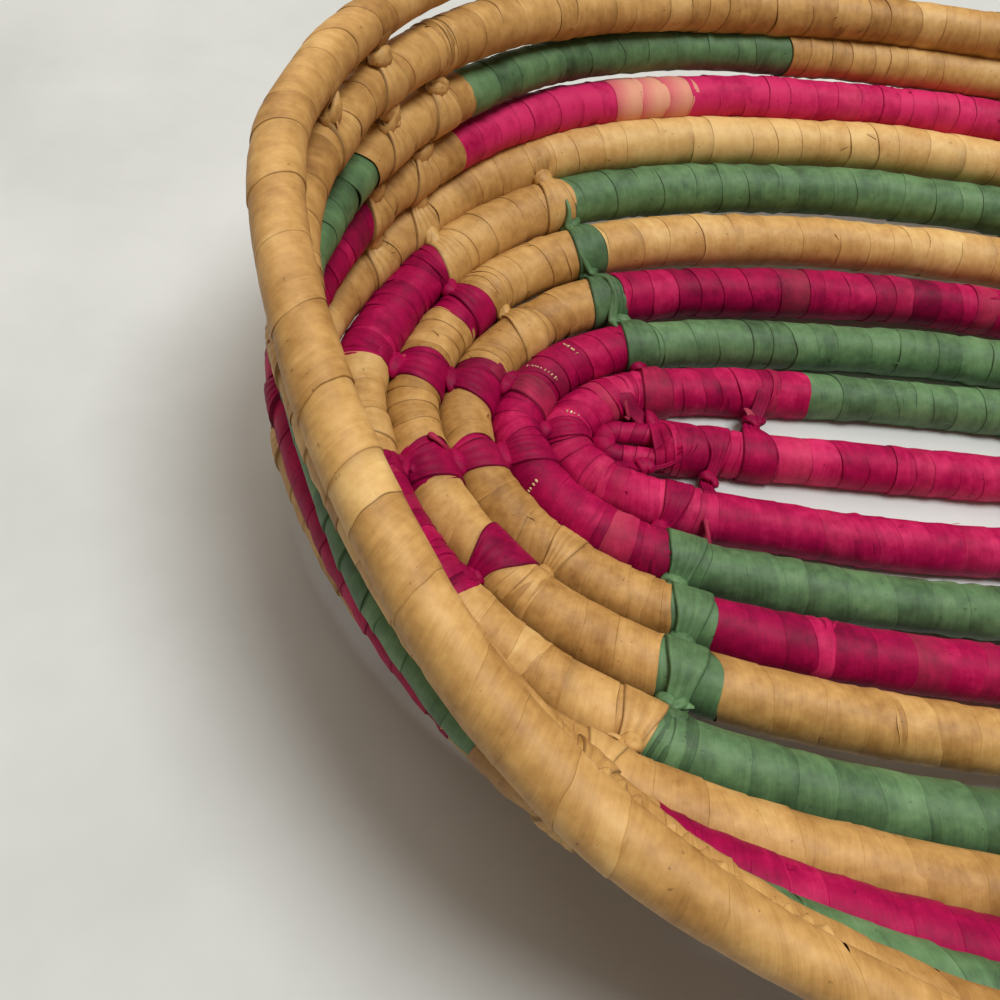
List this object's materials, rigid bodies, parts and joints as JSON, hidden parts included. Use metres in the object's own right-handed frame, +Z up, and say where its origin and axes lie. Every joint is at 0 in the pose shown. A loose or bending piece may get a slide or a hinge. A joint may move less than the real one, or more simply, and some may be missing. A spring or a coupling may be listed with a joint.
{
  "type": "coiled oval basket",
  "caption": "Low oval tray basket of one continuous plant-fibre coil, wrapped and tied with leaf strips dyed magenta, green and left natural.",
  "frame": {"origin": "middle of the flat underside, where the start rod is cut level with the floor", "axes": "+X along the oval's long axis, +Y across it, +Z up, out of the basket's mouth"},
  "size_m": [0.3146, 0.2732, 0.0794],
  "materials": {
    "natural": "undyed dried leaf strip, satin, with fine lengthwise grain",
    "magenta": "dyed leaf strip, satin, colour uneven",
    "green": "dyed leaf strip, satin, colour uneven",
    "core": "bundle of dry plant fibre, matte"
  },
  "bodies": {
    "root": {"coil_core": "core", "rim_tapered_end": "natural", "row_01_right_wrap": "magenta", "row_01_start_wrap": "magenta", "row_02_back_wrap": "magenta", "row_02_front_wrap": "magenta", "row_02_left_wrap": "magenta", "row_02_right_wrap": "magenta", "row_03_back_wrap": "green", "row_03_front_wrap": "green", "row_03_left_wrap": "magenta", "row_03_right_wrap": "magenta", "row_04_back_wrap": "magenta", "row_04_front_wrap": "magenta", "row_04_left_wrap": "natural", "row_04_right_wrap": "natural", "row_05_back_wrap": "natural", "row_05_front_wrap": "natural", "row_05_left_wrap": "natural", "row_05_right_wrap": "natural", "row_06_back_wrap": "green", "row_06_front_wrap": "green", "row_06_left_wrap": "natural", "row_06_right_wrap": "natural", "row_07_back_wrap": "natural", "row_07_front_wrap": "natural", "row_07_left_wrap": "natural", "row_07_right_wrap": "natural", "row_08_back_wrap": "magenta", "row_08_front_wrap": "magenta", "row_08_left_wrap": "magenta", "row_08_right_wrap": "magenta", "row_09_back_wrap": "green", "row_09_front_wrap": "green", "row_09_left_wrap": "green", "row_09_right_wrap": "green", "row_10_back_wrap": "natural", "row_10_front_wrap": "natural", "row_10_left_wrap": "natural", "row_10_right_wrap": "natural", "row_11_back_wrap": "natural", "row_11_front_wrap": "natural", "row_11_left_wrap": "natural", "start_eye": "magenta"}
  },
  "joints": []
}
